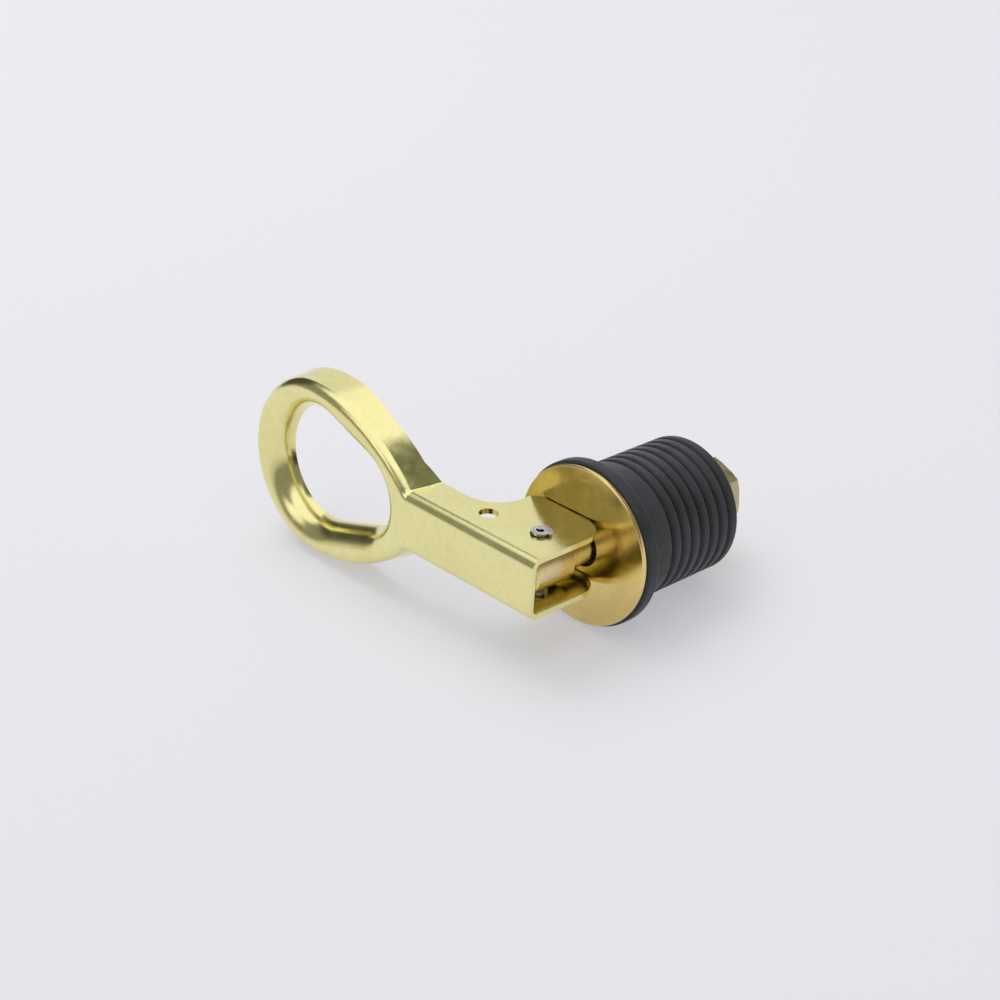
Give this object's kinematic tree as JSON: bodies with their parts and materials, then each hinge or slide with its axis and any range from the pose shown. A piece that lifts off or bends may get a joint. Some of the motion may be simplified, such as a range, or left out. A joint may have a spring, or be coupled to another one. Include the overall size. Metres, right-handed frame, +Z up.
{
  "type": "drain plug",
  "caption": "Expanding drain plug for a boat: ribbed rubber body with a folded brass snap handle.",
  "frame": {"origin": "centre of the bounding box's footprint, on the surface that the plug lies on", "axes": "+X towards the free side opposite the finger loop, +Y roughly from the handle along the plug to the nut, +Z up; the plug's own axis dips 6.2 degrees below +Y"},
  "size_m": [0.0844, 0.057, 0.0348],
  "materials": {
    "handle_brass": "polished",
    "bolt_brass": "machined",
    "washer_brass": "polished",
    "pin_steel": "satin",
    "rubber": "moulded, soft sheen"
  },
  "bodies": {
    "plug": {"rubber_plug": "rubber", "front_washer": "washer_brass"},
    "bolt": {"eye_bolt": "bolt_brass"},
    "handle": {"handle": "handle_brass", "pivot_pin": "pin_steel"},
    "nut": {"hex_nut": "bolt_brass", "rear_washer": "washer_brass"}
  },
  "joints": [
    {"name": "stem_turn", "type": "hinge", "parent": "plug", "child": "bolt", "pos_m": [0.02695, -0.0089, 0.01554], "axis": [0, 0.9942, -0.1075], "range_deg": [0, 1080]},
    {"name": "handle_pivot", "type": "hinge", "parent": "bolt", "child": "handle", "pos_m": [0.02695, -0.01919, 0.01666], "axis": [0.0142, 0.1075, 0.9941], "range_deg": [0, 90]},
    {"name": "nut_feed", "type": "slide", "parent": "plug", "child": "nut", "axis": [0, -0.9942, 0.1075], "range_m": [0, 0.00381], "deforming": ["rubber_plug"]}
  ],
  "couplings": [
    {"joint": "stem_turn", "follows": "nut_feed", "rad_per_m": 4947.4}
  ]
}
